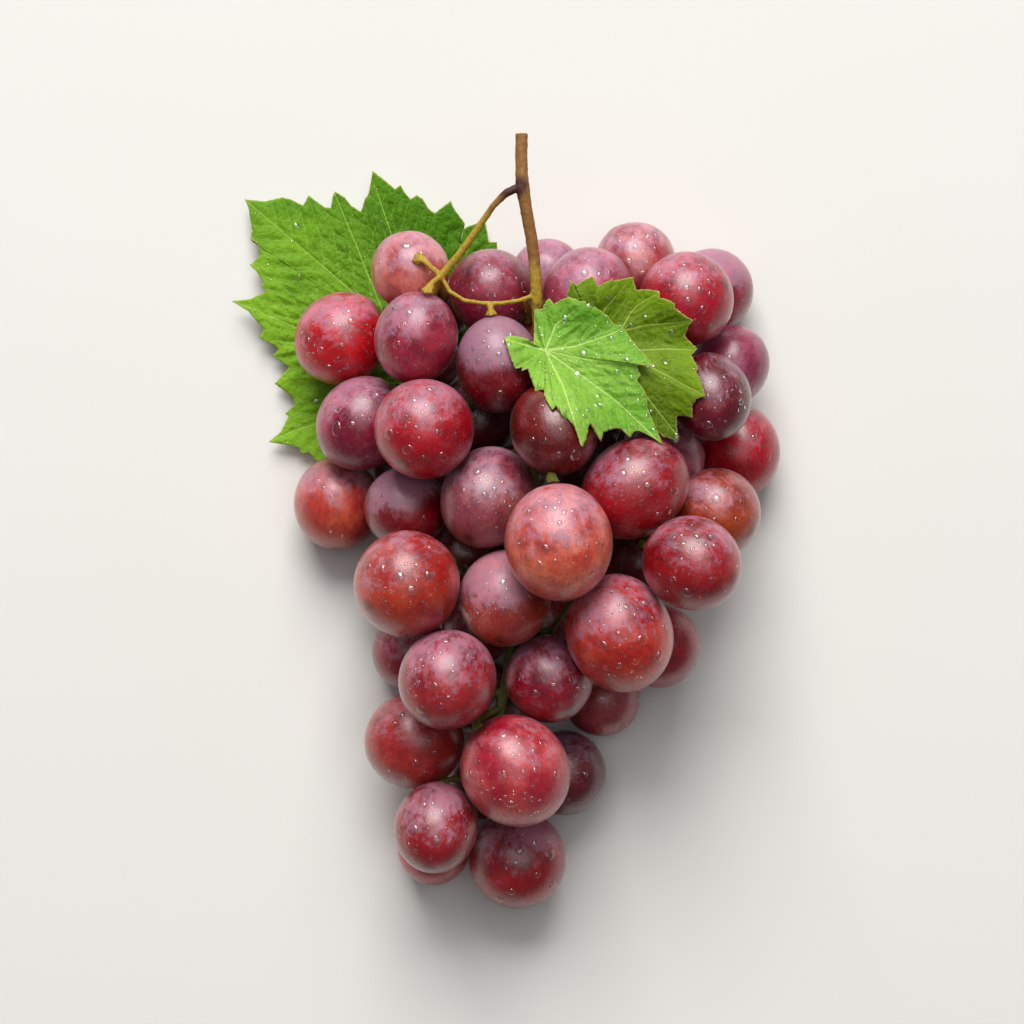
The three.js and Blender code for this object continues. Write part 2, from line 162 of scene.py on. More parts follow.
class Sock:
    """A shader socket that takes part in Python arithmetic."""

    def __init__(self, shader: "Shader", socket: bpy.types.NodeSocket) -> None:
        """Wraps a socket of the shader that made it."""
        self.shader = shader
        self.socket = socket

    def __add__(self, other: "Sock | float") -> "Sock":
        """Returns the sum."""
        return self.shader.math("ADD", self, other)

    __radd__ = __add__

    def __sub__(self, other: "Sock | float") -> "Sock":
        """Returns this less the other."""
        return self.shader.math("SUBTRACT", self, other)

    def __rsub__(self, other: "Sock | float") -> "Sock":
        """Returns the other less this."""
        return self.shader.math("SUBTRACT", other, self)

    def __mul__(self, other: "Sock | float") -> "Sock":
        """Returns the product."""
        return self.shader.math("MULTIPLY", self, other)

    __rmul__ = __mul__


class Shader:
    """A material under construction, with one Principled surface."""

    def __init__(self, name: str) -> None:
        """Starts a material.

        Args:
            name: The material's name.
        """
        self.material = bpy.data.materials.new(name)
        self.material.use_nodes = True
        self.tree = self.material.node_tree
        self.surface = self.tree.nodes["Principled BSDF"]

    def feed(self, socket: bpy.types.NodeSocket, value: object) -> None:
        """Links a wrapped socket to an input, or sets the input to a plain value.

        Args:
            socket: The input.
            value: A wrapped socket, a number, a colour or a vector.
        """
        if isinstance(value, Sock):
            self.tree.links.new(value.socket, socket)
        elif isinstance(value, tuple) and socket.type == "RGBA":
            socket.default_value = (*value, 1.0)
        else:
            socket.default_value = value

    def node(
        self,
        kind: str,
        settings: dict[str, object] | None = None,
        inputs: dict[object, object] | None = None,
    ) -> bpy.types.Node:
        """Adds a node.

        Args:
            kind: The node's type.
            settings: Its options, which are set first.
            inputs: Values or links for its sockets, by name or number.

        Returns:
            The new node.
        """
        made = self.tree.nodes.new(kind)
        for name, value in (settings or {}).items():
            setattr(made, name, value)
        for name, value in (inputs or {}).items():
            self.feed(made.inputs[name], value)
        return made

    def math(self, operation: str, *values: Sock | float) -> Sock:
        """Returns the result of a Math node on the values."""
        made = self.node("ShaderNodeMath", {"operation": operation}, dict(enumerate(values)))
        return Sock(self, made.outputs[0])

    def attribute(self, name: str, output: str = "Fac") -> Sock:
        """Returns a stored attribute as a number, or as a colour or vector by output."""
        return Sock(self, self.node("ShaderNodeAttribute", {"attribute_name": name}).outputs[output])

    def object_place(self) -> Sock:
        """Returns the place of the point in the row frame, in metres."""
        return Sock(self, self.node("ShaderNodeTexCoord").outputs["Object"])

    def stretched(self, place: Sock, scale: Sequence[float]) -> Sock:
        """Returns the place with each axis multiplied by its scale."""
        made = self.node("ShaderNodeMapping", None, {"Vector": place, "Scale": tuple(scale)})
        return Sock(self, made.outputs[0])

    def noise(self, place: Sock, scale: float, detail: float = 3.0, roughness: float = 0.55) -> Sock:
        """Returns a cloudy pattern from 0 to 1 with scale clouds per unit of place."""
        inputs = {"Vector": place, "Scale": scale, "Detail": detail, "Roughness": roughness}
        return Sock(self, self.node("ShaderNodeTexNoise", None, inputs).outputs[0])

    def cells(self, place: Sock, scale: float, feature: str = "F1") -> Sock:
        """Returns the distance to the nearest cell middle, or to the nearest cell edge."""
        made = self.node("ShaderNodeTexVoronoi", {"feature": feature}, {"Vector": place, "Scale": scale})
        return Sock(self, made.outputs["Distance"])

    def rise(self, value: Sock, low: float, high: float) -> Sock:
        """Turns a value into a share with a soft start and end.

        Args:
            value: The value.
            low: Where the share is 0, and may be more than high.
            high: Where the share is 1.

        Returns:
            The share, from 0 to 1.
        """
        inputs = {"Value": value, "From Min": low, "From Max": high}
        made = self.node("ShaderNodeMapRange", {"interpolation_type": "SMOOTHSTEP"}, inputs)
        return Sock(self, made.outputs[0])

    def mix(
        self, share: Sock | float, first: Sock | Colour, second: Sock | Colour, blend: Blend = Blend.OVER
    ) -> Sock:
        """Blends two colours.

        Args:
            share: How much of the second there is, from 0 to 1.
            first: The colour underneath.
            second: The colour on top.
            blend: How they meet.

        Returns:
            The blended colour.
        """
        settings = {"data_type": "RGBA", "blend_type": blend.value, "clamp_factor": True}
        made = self.node("ShaderNodeMix", settings, {0: share, 6: first, 7: second})
        return Sock(self, made.outputs[2])

    def bump(self, height: Sock, strength: float, distance: float) -> Sock:
        """Returns normals that follow a height pattern."""
        inputs = {"Height": height, "Strength": strength, "Distance": distance}
        return Sock(self, self.node("ShaderNodeBump", None, inputs).outputs[0])

    def finish(self, **inputs: object) -> bpy.types.Material:
        """Sets the surface's sockets.

        Args:
            inputs: Values or links, by the socket's name with _ for a space.

        Returns:
            The finished material.
        """
        for name, value in inputs.items():
            self.feed(self.surface.inputs[name.replace("_", " ")], value)
        return self.material


# ---- Finishes ----


class Slot(Enum):
    """Names for the materials of the bunch's pieces; no piece here is stored under them."""

    BERRY = "berry_skin"
    STEM = "stem_bark"
    LEAF = "leaf_blade"


@dataclass(frozen=True)
class BerrySkin:
    """Taut grape skin: ripening colours under streaks and specks, with a waxy bloom that rubs off; the bloom
    is laid on thickest towards the light as painted sheen, and the side away from the light is darkened as
    painted shade.
    """

    bloom: Colour = rgb("c69fb9")
    bloom_share: float = 0.46
    speck: Colour = rgb("b4605a")
    scar: Colour = rgb("2a140c")
    gloss: float = 0.22
    waxy: float = 0.42

    def material(self) -> bpy.types.Material:
        """Builds the skin, which reads each berry's own attributes.

        Returns:
            The material.
        """
        s = Shader("grape_skin")
        place = s.attribute("place", "Vector")
        flow = s.stretched(place, (1.0, 1.0, 0.25))
        clouds = s.noise(place, 0.13, 2.0, 0.5)
        mottle = s.noise(place, 0.5, 4.0, 0.62)
        streaks = s.noise(flow, 1.3, 4.0, 0.68)
        patchy = s.rise(clouds * 0.75 + mottle * 0.25, 0.38, 0.62)
        colour = s.mix(patchy, s.attribute("tint", "Color"), s.attribute("blush", "Color"))
        # Darker purple blotches, kept mostly on the side facing the light, so the lower side stays lighter
        # and more orange: partly the berry's own colour, partly painted light, as of light shining through
        # the lower skin.
        dusky = s.rise(s.noise(place, 0.27, 4.0, 0.66) + (streaks - 0.5) * 0.35, 0.42, 0.62)
        dusky = dusky * (0.3 + 0.7 * s.rise(s.attribute("bloom_and_painted_sheen"), 0.15, 0.6))
        colour = s.mix(dusky * 0.75, colour, (0.4, 0.16, 0.5), Blend.DARKEN)
        colour = s.mix(s.rise(streaks, 0.46, 0.7) * 0.6, colour, (0.42, 0.2, 0.26), Blend.DARKEN)
        colour = s.mix(s.rise(mottle, 0.5, 0.3) * 0.22, colour, self.speck)
        dots = s.rise(s.cells(place, 0.8), 0.1, 0.04) * s.rise(mottle, 0.46, 0.56)
        colour = s.mix(dots * 0.3, colour, self.speck)
        kept = s.rise(s.attribute("rubbed") + (mottle - 0.5) * 0.9 + (streaks - 0.5) * 0.6, 0.95, 0.1)
        # Bloom film, laid on thickest where the skin faces the light: real bloom with painted sheen.
        film = s.attribute("bloom_and_painted_sheen") + (clouds - 0.5) * 1.2 + (mottle - 0.5) * 1.3 + (streaks - 0.5) * 1.1
        film = s.rise(film, 0.28, 0.92) * kept * s.rise(s.attribute("bloom_and_painted_sheen"), 0.0, 0.2)
        colour = s.mix(film * self.bloom_share, colour, self.bloom)
        # Painted shade: the skin is darkened where it faces away from the light.
        colour = s.mix(s.attribute("under") * 0.75, colour, (0.5, 0.36, 0.42), Blend.DARKEN)
        colour = s.mix(s.attribute("scar"), colour, self.scar)
        grain = s.noise(place, 2.6, 3.0, 0.6) + streaks * 0.8
        return s.finish(
            Base_Color=colour,
            Roughness=self.gloss + film * (self.waxy - self.gloss) + 0.16 * s.rise(streaks, 0.4, 0.7),
            Normal=s.bump(grain, 0.42, 0.00024),
            Subsurface_Weight=0.2,
            Subsurface_Radius=(1.0, 0.12, 0.1),
            Subsurface_Scale=0.003,
            Sheen_Weight=0.05,
            Sheen_Roughness=0.3,
            Sheen_Tint=(0.86, 0.72, 0.84),
            # The coat is thinned on that painted-shade side as well.
            Coat_Weight=(0.85 - 0.3 * film) * (1.0 - s.attribute("under")),
            Coat_Roughness=0.3,
            IOR=1.44,
        )


@dataclass(frozen=True)
class StemBark:
    """The stem's skin, from brown bark at the cut end to green where it is fed by the berries."""

    bark: Colour = rgb("8e6028")
    dark: Colour = rgb("44200e")
    olive: Colour = rgb("b49428")
    green: Colour = rgb("56561a")
    cork: Colour = rgb("7c5c30")
    wood: Colour = rgb("e0cfa8")

    def material(self) -> bpy.types.Material:
        """Builds the bark, which reads how old each point of the stem is.

        Returns:
            The material.
        """
        s = Shader("grape_stem")
        place = s.object_place()
        along = s.noise(s.stretched(place, (1.0, 0.22, 1.0)), 1500.0, 4.0, 0.62)
        blotch = s.noise(place, 260.0, 3.0, 0.6)
        warts = s.cells(place, 1100.0)
        age = s.attribute("age") + (blotch - 0.5) * 0.3
        colour = s.mix(s.rise(age, 0.0, 0.35), self.green, self.olive)
        colour = s.mix(s.rise(age, 0.4, 0.72), colour, self.bark)
        colour = s.mix(s.rise(age, 0.8, 1.05), colour, self.dark)
        colour = s.mix(s.rise(along, 0.5, 0.75) * 0.45, colour, (0.42, 0.34, 0.28), Blend.DARKEN)
        colour = s.mix(s.attribute("corky") * s.rise(blotch, 0.3, 0.6), colour, self.cork)
        rough = s.rise(warts, 0.45, 0.15) * (0.25 + 0.75 * s.attribute("corky"))
        colour = s.mix(rough, colour, self.dark)
        colour = s.mix(s.attribute("cut"), colour, self.wood)
        return s.finish(
            Base_Color=colour,
            Roughness=0.5 + 0.25 * along,
            Normal=s.bump(along + warts * 0.6, 0.5, 0.00025),
            Subsurface_Weight=0.06,
            Subsurface_Radius=(1.0, 0.6, 0.2),
            Subsurface_Scale=0.001,
        )


@dataclass(frozen=True)
class LeafBlade:
    """A vine leaf's blade: green between pale veins, with painted shade in the grooves beside the side veins,
    a thin dry rim and a paler underside.
    """

    name: str
    deep: Colour
    light: Colour
    vein: Colour = rgb("b4cc74")
    rim: Colour = rgb("b8a860")
    under: Colour = rgb("8fae68")
    veiny: float = 1.0

    def material(self) -> bpy.types.Material:
        """Builds the blade, which reads the leaf's veins, side and edge.

        Returns:
            The material.
        """
        s = Shader(self.name)
        place = s.object_place()
        tone = s.noise(place, 70.0, 3.0, 0.55)
        fine = s.noise(place, 900.0, 3.0, 0.6)
        net = s.cells(place, 520.0, "DISTANCE_TO_EDGE")
        hair = s.cells(place, 1500.0, "DISTANCE_TO_EDGE")
        shade = s.attribute("pale") + (tone - 0.5) * 0.9
        colour = s.mix(s.rise(shade, 0.1, 0.9), self.deep, self.light)
        colour = s.mix(s.rise(fine, 0.45, 0.75) * 0.22, colour, (0.5, 0.62, 0.4), Blend.DARKEN)
        colour = s.mix(s.rise(net, 0.08, 0.02) * 0.1, colour, self.vein)
        colour = s.mix(s.rise(hair, 0.10, 0.02) * 0.05, colour, self.vein)
        main = s.rise(s.math("ABSOLUTE", s.attribute("vein_across")), 1.25, 0.5)
        main = main * s.rise(s.attribute("vein"), 1.2, 0.8)
        side = s.rise(s.math("ABSOLUTE", s.attribute("side_across")), 1.5, 0.4)
        side = side * s.rise(s.attribute("side"), 1.2, 0.8)
        # Painted shade in the sunken grooves beside the side veins.
        colour = s.mix(s.rise(s.attribute("side"), 0.9, 0.1) * 0.2, colour, (0.6, 0.75, 0.5), Blend.DARKEN)
        colour = s.mix(s.attribute("back") * (0.8 + 0.2 * tone), colour, self.under)
        colour = s.mix(side * 0.3 * self.veiny, colour, self.vein)
        colour = s.mix(main * 0.75, colour, self.vein)
        colour = s.mix(s.rise(s.attribute("edge"), 0.36, 0.06) * 0.6, colour, self.rim)
        return s.finish(
            Base_Color=colour,
            Roughness=0.4 + 0.2 * fine,
            Normal=s.bump(s.rise(net, 0.0, 0.3) + 0.35 * s.rise(hair, 0.0, 0.2), 0.4, 0.0003),
            Specular_IOR_Level=0.14,
            Subsurface_Weight=0.12,
            Subsurface_Radius=(0.5, 1.0, 0.15),
            Subsurface_Scale=0.0012,
        )


@dataclass(frozen=True)
class Water:
    """Clear water in small drops, with a bright skin that shows on dark berries."""

    density: float = 1.333
    body: float = 0.46
    skin_density: float = 2.5
    skin_roughness: float = 0.04

    def material(self) -> bpy.types.Material:
        """Builds the water.

        Returns:
            The material.
        """
        s = Shader("water")
        ripple = s.noise(s.object_place(), 600.0, 1.0, 0.5)
        return s.finish(
            Base_Color=(1.0, 1.0, 1.0),
            Roughness=0.01 + 0.02 * ripple,
            Transmission_Weight=1.0,
            IOR=self.density,
            Alpha=self.body,
            Coat_Weight=1.0,
            Coat_Roughness=self.skin_roughness,
            Coat_IOR=self.skin_density,
        )


# ---- Berries ----


@dataclass(frozen=True)
class Rub:
    """A place where the bloom is rubbed off: its bearing in plan, its tilt from straight up, its reach."""

    bearing: float
    tilt: float
    reach: float

    def direction(self) -> np.ndarray:
        """Returns the direction from the berry's middle to the middle of the patch."""
        b, t = math.radians(self.bearing), math.radians(self.tilt)
        return np.array([math.cos(b) * math.sin(t), math.sin(b) * math.sin(t), math.cos(t)])


@dataclass(frozen=True)
class Ripeness:
    """How one berry looks: two skin colours, how much bloom and painted sheen it keeps, where it is rubbed,
    and its drops.
    """

    tint: str
    blush: str
    # Each berry's amount of bloom, which also sets its painted sheen.
    bloom_and_painted_sheen: float = 0.4
    rubs: tuple[Rub, ...] = ()
    drops: int = 0


# Takes the bloom off the whole side that faces -Y, away from the light.
BOTTOM = Rub(270, 85, 62)
RIPENESS: dict[str, Ripeness] = {
    "shoulder_1": Ripeness("c45450", "e08070", 0.55, (Rub(235, 72, 42),), 11),
    "shoulder_2": Ripeness("8c1430", "b42c44", 0.55, (Rub(5, 28, 24), Rub(265, 55, 36)), 35),
    "shoulder_3": Ripeness("bc0414", "d80818", 0.55, (BOTTOM,), 46),
    "shoulder_4": Ripeness("6c0414", "880818", 0.95, (Rub(275, 50, 50),), 30),
    "shoulder_5": Ripeness("a8443c", "b8684c", 0.3),
    "shoulder_6": Ripeness("6c1020", "882830", 0.5),
    "right_shoulder_1": Ripeness("982040", "bc4460", 0.5, (Rub(195, 65, 18),), 22),
    "right_shoulder_2": Ripeness("b03c48", "cc7c74", 0.45, (Rub(330, 60, 30),), 19),
    "right_shoulder_3": Ripeness("a80420", "c0082c", 0.45, (Rub(300, 45, 40),), 32),
    "right_shoulder_4": Ripeness("800424", "a40830", 0.85, (), 8),
    "right_shoulder_5": Ripeness("a03c58", "bc6c80", 0.5, (), 5),
    "right_wing_1": Ripeness("600418", "740824", 0.35, (), 22),
    "right_wing_2": Ripeness("8c2848", "a85470", 0.05, (Rub(170, 40, 40),), 7),
    "right_wing_3": Ripeness("a00418", "c00824", 0.3, (Rub(190, 30, 45),), 8),
    "right_wing_4": Ripeness("a43c50", "c0606c", 0.5, (), 5),
    "left_wing_1": Ripeness("ac041c", "c40820", 0.55, (Rub(265, 55, 55),), 49),
    "left_wing_2": Ripeness("800c30", "ac1840", 0.5, (Rub(285, 60, 34),), 19),
    "left_wing_3": Ripeness("c03c30", "d45c3c", 0.5, (Rub(320, 60, 45),), 11),
    "left_wing_4": Ripeness("800418", "8c0818", 0.75, (Rub(340, 50, 45),), 7),
    "middle_1": Ripeness("7c1c2c", "a02c48", 0.35, (Rub(270, 60, 40), Rub(10, 70, 25)), 32),
    "middle_2": Ripeness("5c0404", "740808", 0.05, (Rub(300, 30, 60),), 16),
    "middle_3": Ripeness("903c4c", "a0544c", 0.5, (Rub(48, 56, 24), Rub(265, 70, 30)), 46),
    "middle_4": Ripeness("cc4434", "e47454", 0.6, (BOTTOM,), 59),
    "left_flank_1": Ripeness("a41c18", "c4401c", 0.4, (BOTTOM,), 46),
    "left_flank_2": Ripeness("a43028", "b84828", 0.95, (Rub(315, 60, 36),), 35),
    "left_flank_3": Ripeness("88042c", "a40824", 0.4, (), 3),
    "left_hip_1": Ripeness("940c1c", "b02024", 0.55, (BOTTOM,), 27),
    "left_hip_2": Ripeness("a01820", "b43024", 0.35, (Rub(300, 60, 50),), 11),
    "right_hip_1": Ripeness("b01410", "d03c20", 0.55, (Rub(285, 45, 30),), 43),
    "right_hip_2": Ripeness("980420", "b00824", 0.2, (), 3),
    "right_hip_3": Ripeness("800424", "9c0824", 0.45, (), 16),
    "right_hip_4": Ripeness("983038", "b04448", 0.25, (), 3),
    "right_flank_1": Ripeness("900414", "a40818", 0.4, (BOTTOM,), 49),
    "right_flank_2": Ripeness("900414", "a80818", 0.45, (BOTTOM, Rub(180, 60, 30)), 35),
    "right_flank_3": Ripeness("9c3008", "b04410", 0.45, (BOTTOM,), 16),
    "tip_1": Ripeness("ac1830", "cc4848", 0.3, (BOTTOM,), 40),
    "tip_2": Ripeness("580414", "680818", 0.4, (), 3),
    "tip_3": Ripeness("880414", "a00818", 0.5, (BOTTOM,), 30),
    "tip_4": Ripeness("b80414", "cc0814", 0.65),
    "tip_5": Ripeness("900414", "ac0818", 0.55, (), 11),
}
HIDDEN = (("6c0c14", "7c1c1c"), ("4c0812", "5c141a"), ("5c1c24", "682a24"), ("64101a", "702a22"))


@dataclass(frozen=True)
class Fit:
    """The ellipsoid that a berry's solid gives: its middle, its stem-end direction and its half sizes."""

    centre: Vector
    stem_end: Vector
    half_length: float
    half_width: float

    @classmethod
    def of(cls, solid: bpy.types.Object, stem: KDTree) -> "Fit":
        """Fits the ellipsoid to a solid.

        Args:
            solid: The berry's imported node.
            stem: The stem's vertices.

        Returns:
            The fit, with its stem end where the stem's foot meets the berry.
        """
        places = coordinates(solid.data)
        centre = places.mean(0)
        spread, axes = np.linalg.eigh(np.cov((places - centre).T, bias=True))
        halves = np.sqrt(3 * spread)
        half_width, half_length = float(halves[:2].mean()), float(halves[2])
        middle = Vector(centre)
        near = [
            (Vector(co) - middle).normalized()
            for co, _, _ in stem.find_range(middle, half_length + FOOT_SEARCH)
            if (Vector(co) - middle).length < half_length + FOOT_REACH
        ]
        toward = sum(near, Vector()) if near else Vector((0, 0, 1))
        axis = Vector(axes[:, 2])
        if half_length / half_width < NEARLY_ROUND:
            axis = toward.normalized()
            half_width = half_length = float(halves.mean())
        elif axis.dot(toward) < 0:
            axis = -axis
        return cls(middle, axis.normalized(), half_length, half_width)

    def matrix(self) -> Matrix:
        """Works out how a unit berry becomes this one.

        Returns:
            The matrix from the unit berry, stem end up, to this one.
        """
        turn = Vector((0, 0, 1)).rotation_difference(self.stem_end).to_matrix().to_4x4()
        size = Matrix.Diagonal((self.half_width, self.half_width, self.half_length, 1))
        return Matrix.Translation(self.centre) @ turn @ size


@dataclass
class BerryMould:
    """The berry that all others are copied from: a unit ball with a stalk dimple and a withered tip."""

    segments: int = 48
    rings: int = 32
    dimple_depth: float = 0.05
    dimple_angle: float = 24.0
    scar_angle: float = 7.0
    scar_lift: float = 0.012

    def build(self) -> bpy.types.Object:
        """Builds the mould.

        Returns:
            The mould, its stem end up along Z.
        """
        select_only()
        bpy.ops.mesh.primitive_uv_sphere_add(segments=self.segments, ring_count=self.rings, radius=1.0)
        mould = bpy.context.object
        mould.name = "berry_mould"
        self._draw_out_tip(mould)
        places = coordinates(mould.data)
        from_top = np.degrees(np.arccos(np.clip(places[:, 2], -1, 1)))
        places[:, 2] -= self.dimple_depth * (1 - rise(from_top, 0, self.dimple_angle))
        set_coordinates(mould.data, places)
        select_only(mould)
        bpy.ops.object.shade_smooth()
        return mould

    def _draw_out_tip(self, ball: bpy.types.Object) -> None:
        """Moves the lowest cap of a ball down, where the flower was.

        Args:
            ball: The ball.
        """
        select_only(ball)
        bpy.ops.object.mode_set(mode="EDIT")
        shape = bmesh.from_edit_mesh(ball.data)
        for vertex in shape.verts:
            vertex.select = -vertex.co.z > math.cos(math.radians(self.scar_angle))
        shape.select_flush(True)
        bmesh.update_edit_mesh(ball.data)
        bpy.ops.transform.translate(value=(0, 0, -self.scar_lift))
        bpy.ops.object.mode_set(mode="OBJECT")


@dataclass
class Berries:
    """Every berry of the bunch."""

    mould: BerryMould = field(default_factory=BerryMould)
    skin: BerrySkin = field(default_factory=BerrySkin)
    lumps: float = 0.14 * MM
    # Direction towards the light: the bloom is laid on thickest where the skin faces it, as painted sheen.
    sky: tuple[float, float, float] = (-0.1, 0.85, 0.5)
    # Direction away from the light, where the skin gets painted shade.
    painted_shade_side: tuple[float, float, float] = (0.05, -0.76, -0.65)
    fits: dict[str, Fit] = field(default_factory=dict)

    def build(self) -> list[bpy.types.Object]:
        """Builds the berries, each in place of its solid.

        Returns:
            The finished berries.
        """
        stem_places = coordinates(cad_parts["stem"].data)
        stem = KDTree(len(stem_places))
        for index, place in enumerate(stem_places):
            stem.insert(place, index)
        stem.balance()
        material = self.skin.material()
        mould = self.mould.build()
        made = []
        for index, name in enumerate(sorted(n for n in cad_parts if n.startswith(BERRY))):
            fit = Fit.of(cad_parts[name], stem)
            self.fits[name] = fit
            made.append(self._berry(mould, name, fit, index, material))
        bpy.data.objects.remove(mould)
        return made

    def _berry(
        self, mould: bpy.types.Object, name: str, fit: Fit, index: int, material: bpy.types.Material
    ) -> bpy.types.Object:
        """Builds one berry as a copy of the mould.

        Args:
            mould: The unit berry.
            name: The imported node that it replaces.
            fit: Its ellipsoid.
            index: Its number, which sets its own lumps and clouds.
            material: The skin.

        Returns:
            The berry.
        """
        berry = bpy.data.objects.new(f"grape_{name.removeprefix(BERRY)}", mould.data.copy())
        bpy.context.collection.objects.link(berry)
        unit = coordinates(berry.data)
        berry.data.transform(fit.matrix())
        places = coordinates(berry.data)
        outward = places - np.array(fit.centre)
        outward /= np.linalg.norm(outward, axis=1)[:, None]
        drift = Vector((index * 7.3, index * 3.1, index * 5.7))
        swell = np.array([noise.noise(Vector(p) * 1.1 + drift) for p in unit])
        places += outward * (swell * self.lumps)[:, None]
        places[:, 2] = np.maximum(places[:, 2], 0)
        set_coordinates(berry.data, places)
        self._dress(berry, name, unit, outward, fit, index)
        berry.data.materials.clear()
        berry.data.materials.append(material)
        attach(berry, BODY)
        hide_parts(name)
        return berry

    def _dress(
        self, berry: bpy.types.Object, name: str, unit: np.ndarray, outward: np.ndarray, fit: Fit, index: int
    ) -> None:
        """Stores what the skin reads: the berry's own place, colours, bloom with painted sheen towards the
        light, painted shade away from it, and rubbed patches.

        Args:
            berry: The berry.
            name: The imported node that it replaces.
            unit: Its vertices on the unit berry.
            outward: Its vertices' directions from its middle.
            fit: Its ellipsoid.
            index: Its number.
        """
        looks = RIPENESS.get(name.removeprefix(BERRY), Ripeness(*HIDDEN[index % len(HIDDEN)], 0.3))
        tint, blush = (np.array(rgb(code)) for code in (looks.tint, looks.blush))
        count = len(unit)
        own = unit * np.array([fit.half_width, fit.half_width, fit.half_length]) / MM
        store(berry.data, "place", own + np.array([index * 31.7, index * 17.9, index * 23.3]))
        store(berry.data, "tint", np.tile(tint, (count, 1)))
        store(berry.data, "blush", np.tile(blush, (count, 1)))
        # Bloom and painted sheen: the berry's own amount, heaviest where the skin faces the light.
        sky = np.array(self.sky) / np.linalg.norm(self.sky)
        facing = outward @ sky
        store(berry.data, "bloom_and_painted_sheen", looks.bloom_and_painted_sheen * (0.1 + 1.3 * rise(facing, -0.1, 0.95)))
        # Painted shade: how far the skin faces away from the light.
        store(berry.data, "under", rise(outward @ np.array(self.painted_shade_side), 0.15, 0.95))
        rubbed = np.zeros(count)
        for rub in looks.rubs:
            away = np.degrees(np.arccos(np.clip(outward @ rub.direction(), -1, 1)))
            rubbed = np.maximum(rubbed, 1 - rise(away, rub.reach * 0.3, rub.reach * 1.35))
        store(berry.data, "rubbed", rubbed)
        store(berry.data, "scar", rise(-unit[:, 2], 0.995, 0.9995) * 0.5)


# ---- Stem ----


@dataclass
class Stem:
    """The whole stem, rounded from its solid, from the cut end to every berry's foot."""

    bark: StemBark = field(default_factory=StemBark)
    grain: float = 0.3 * MM
    smoothing: int = 5
    knots: float = 0.22 * MM
    node_y: float = 80.5 * MM
    node_reach: float = 2.7 * MM
    node_sides: Point = (3 * MM, 7 * MM)
    bare_from: float = 55 * MM
    bare_blend: float = 12 * MM
    young_branch: float = 13 * MM
    branch_sides: Point = (0.5 * MM, 3.5 * MM)
    open_air: Point = (24 * MM, 33 * MM)
    upper: Point = (38 * MM, 46 * MM)
    cut_depth: Point = (0.7 * MM, 0.25 * MM)
    foot_reach: Point = (0.4 * MM, 2.2 * MM)

    def build(self) -> bpy.types.Object:
        """Builds the stem in place of its solid.

        Returns:
            The finished stem.
        """
        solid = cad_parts["stem"]
        stem = bpy.data.objects.new("grape_stem", solid.data.copy())
        bpy.context.collection.objects.link(stem)
        select_only(stem)
        bpy.ops.object.mode_set(mode="EDIT")
        bpy.ops.mesh.select_all(action="SELECT")
        bpy.ops.mesh.remove_doubles(threshold=0.002 * MM)
        bpy.ops.object.mode_set(mode="OBJECT")
        remesh = stem.modifiers.new("grow", "REMESH")
        remesh.mode, remesh.voxel_size, remesh.use_smooth_shade = "VOXEL", self.grain, True
        smooth = stem.modifiers.new("round", "SMOOTH")
        smooth.factor, smooth.iterations = 0.5, self.smoothing
        for name in ("grow", "round"):
            bpy.ops.object.modifier_apply(modifier=name)
        self._grow(stem)
        stem.data.materials.clear()
        stem.data.materials.append(self.bark.material())
        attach(stem, BODY)
        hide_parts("stem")
        return stem

    def _grow(self, stem: bpy.types.Object) -> None:
        """Swells the stem's knots and stores its age, its corky feet and its cut end.

        Args:
            stem: The rounded stem.
        """
        places = coordinates(stem.data)
        normals = directions(stem.data)
        _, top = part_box("stem")
        x, y, z = places.T
        at_node = np.exp(-(((y - self.node_y) / self.node_reach) ** 2)) * (1 - rise(x, *self.node_sides))
        ripple = np.array([noise.noise(Vector(p) * 900) for p in places])
        warts = np.array([noise.noise(Vector(p) * 1150) for p in places])
        feet = self._near_feet(places)
        lift = self.knots * (0.45 * ripple + 1.6 * at_node + feet * (0.9 + 3.0 * warts))
        cut = rise(y, *(top.y - depth for depth in self.cut_depth))
        lift[cut > 0.1] *= 0.2
        set_coordinates(stem.data, places + normals * lift[:, None])
        start = self.bare_from + self.young_branch * (1 - rise(x, *self.branch_sides))
        bare = rise(y, start, start + self.bare_blend) * rise(z, *self.open_air)
        upper = rise(y, *self.upper)
        store(stem.data, "age", np.clip(0.3 * upper + 0.44 * bare + 0.45 * at_node, 0, 1.1))
        store(stem.data, "corky", (0.25 + 0.75 * upper) * feet)
        store(stem.data, "cut", cut * (normals[:, 1] > 0.6))

    def _near_feet(self, places: np.ndarray) -> np.ndarray:
        """Measures how near each point of the stem is to a berry.

        Args:
            places: The points.

        Returns:
            0 far away, up to 1 where a stalk meets its berry.
        """
        closest = np.full(len(places), 1.0)
        for name in (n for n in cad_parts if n.startswith(BERRY)):
            low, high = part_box(name)
            middle = (np.array(low) + np.array(high)) / 2
            half = float((high - low).length) / (2 * math.sqrt(3))
            closest = np.minimum(closest, np.abs(np.linalg.norm(places - middle, axis=1) - half))
        return 1 - rise(closest, *self.foot_reach)


# ---- Leaves ----


